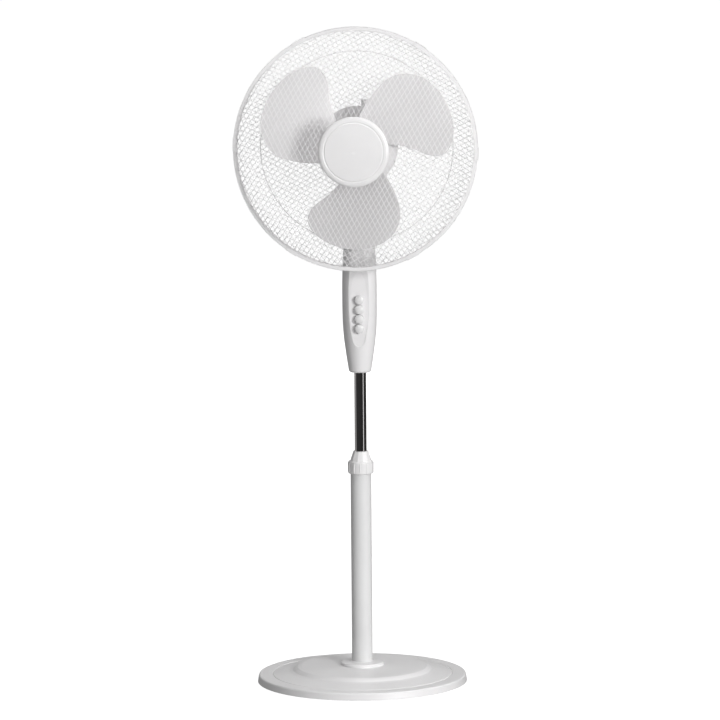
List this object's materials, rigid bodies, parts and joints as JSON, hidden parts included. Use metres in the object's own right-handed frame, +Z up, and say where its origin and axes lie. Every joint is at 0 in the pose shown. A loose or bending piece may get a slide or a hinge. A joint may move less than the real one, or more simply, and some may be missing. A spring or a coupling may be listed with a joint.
{
  "type": "pedestal fan",
  "caption": "Pedestal fan on a round weighted base: telescopic pole with clamp collar, push-button control box, tilting and oscillating head with mesh guards.",
  "frame": {"origin": "centre of the base's underside, on the floor, under the pole's axis", "axes": "+Z up along the pole, the fan blows towards -Y, +X to the right seen from the front"},
  "size_m": [0.4424, 0.385, 1.21],
  "materials": {
    "white_plastic": "moulded white ABS, satin gloss",
    "panel_plastic": "pale grey ABS, satin",
    "button_plastic": "white ABS, glossy",
    "blade_plastic": "pale grey-white polypropylene, satin gloss",
    "white_paint": "white powder coat, satin",
    "white_wire": "white powder coat on steel wire",
    "chrome": "bright chrome plate",
    "cast_weight": "black painted casting",
    "rubber": "soft black rubber",
    "inner_plastic": "natural nylon, matt",
    "zinc_steel": "zinc plated steel",
    "cast_aluminium": "die cast, as cast",
    "lamination": "stacked electrical steel, varnished",
    "copper_winding": "enamelled copper wire",
    "bronze": "sintered bronze"
  },
  "bodies": {
    "base": {"base_cover": "white_plastic", "base_weight": "cast_weight", "weight_screws": "zinc_steel", "base_feet": "rubber", "pole_socket": "inner_plastic", "base_bolt": "zinc_steel", "pole_flange": "white_plastic", "outer_pole": "white_paint", "clamp_collet": "inner_plastic"},
    "collar": {"height_collar": "white_plastic"},
    "mast": {"inner_tube": "chrome", "tube_glide": "inner_plastic", "control_box_front": "white_plastic", "control_box_rear": "white_plastic", "control_panel": "panel_plastic", "switch_block": "inner_plastic", "box_screws": "zinc_steel", "cord_gland": "rubber", "tube_clamp_screw": "zinc_steel", "tilt_yoke": "zinc_steel", "tilt_bolt": "zinc_steel", "tilt_knob": "white_plastic", "run_capacitor": "inner_plastic"},
    "button_off_body": {"button_off": "button_plastic"},
    "button_low_body": {"button_low": "button_plastic"},
    "button_medium_body": {"button_medium": "button_plastic"},
    "button_high_body": {"button_high": "button_plastic"},
    "neck": {"neck_bracket": "white_plastic", "swivel_screw": "zinc_steel", "link_screw": "zinc_steel"},
    "link": {"link_arm": "zinc_steel"},
    "head": {"front_end_shield": "cast_aluminium", "rear_end_shield": "cast_aluminium", "stator_core": "lamination", "stator_windings": "copper_winding", "shaft_bearings": "bronze", "motor_screws": "zinc_steel", "gearbox_case": "inner_plastic", "gearbox_cover": "inner_plastic", "motor_housing": "white_plastic", "housing_screw": "zinc_steel", "motor_front_cover": "white_plastic", "rear_grille": "white_wire", "rear_grille_rim": "white_wire", "rear_grille_plate": "white_wire", "grille_nut": "white_plastic", "front_grille": "white_wire", "front_grille_rim": "white_wire", "front_grille_plate": "white_wire", "grille_ring": "white_plastic", "ring_clips": "white_plastic", "grille_badge": "white_plastic"},
    "rotor": {"motor_shaft": "zinc_steel", "drive_pin": "zinc_steel", "rotor_core": "cast_aluminium", "fan_blades": "blade_plastic", "blade_nut": "white_plastic"},
    "worm_wheel": {"worm_gear": "inner_plastic"},
    "crank": {"crank_gear": "zinc_steel"},
    "knob": {"oscillation_knob": "white_plastic"}
  },
  "joints": [
    {"name": "collar_turn", "type": "hinge", "parent": "base", "child": "collar", "pos_m": [0, 0, 0.4], "axis": [0, 0, 1], "range_deg": [0, 120]},
    {"name": "height_slide", "type": "slide", "parent": "base", "child": "mast", "axis": [0, 0, 1], "range_m": [-0.14, 0.12]},
    {"name": "press_off", "type": "slide", "parent": "mast", "child": "button_off_body", "axis": [0, 1, 0], "range_m": [0, 0.003], "stiffness_N_per_m": 400, "springref_m": -0.001},
    {"name": "press_low", "type": "slide", "parent": "mast", "child": "button_low_body", "axis": [0, 1, 0], "range_m": [0, 0.003], "stiffness_N_per_m": 400, "springref_m": -0.001},
    {"name": "press_medium", "type": "slide", "parent": "mast", "child": "button_medium_body", "axis": [0, 1, 0], "range_m": [0, 0.003], "stiffness_N_per_m": 400, "springref_m": -0.001},
    {"name": "press_high", "type": "slide", "parent": "mast", "child": "button_high_body", "axis": [0, 1, 0], "range_m": [0, 0.003], "stiffness_N_per_m": 400, "springref_m": -0.001},
    {"name": "head_tilt", "type": "hinge", "parent": "mast", "child": "neck", "pos_m": [0, 0, 0.875], "axis": [-1, 0, 0], "range_deg": [-8, 20]},
    {"name": "oscillation", "type": "hinge", "parent": "neck", "child": "head", "pos_m": [0, 0, 0.921], "axis": [0, 0, 1], "range_deg": [-40, 40]},
    {"name": "link_swing", "type": "hinge", "parent": "neck", "child": "link", "pos_m": [-0.018, 0, 0.9225], "axis": [0, 0, 1], "range_deg": [-40, 40]},
    {"name": "fan_spin", "type": "hinge", "parent": "head", "child": "rotor", "pos_m": [0, -0.082, 0.99], "axis": [0, 1, 0], "continuous": true},
    {"name": "worm_wheel_spin", "type": "hinge", "parent": "head", "child": "worm_wheel", "pos_m": [0.0123, 0.044, 0.99], "axis": [0, 0, 1], "continuous": true},
    {"name": "crank_turn", "type": "hinge", "parent": "head", "child": "crank", "pos_m": [-0.0036, 0.044, 0.95], "axis": [0, 0, 1], "range_deg": [-90, 90]},
    {"name": "knob_pull", "type": "slide", "parent": "head", "child": "knob", "axis": [0, 0, 1], "range_m": [0, 0.006]}
  ],
  "couplings": [
    {"joint": "link_swing", "follows": "oscillation", "ratio": 1},
    {"joint": "crank_turn", "follows": "oscillation", "ratio": -2.25},
    {"joint": "worm_wheel_spin", "follows": "fan_spin", "ratio": 0.041667}
  ]
}
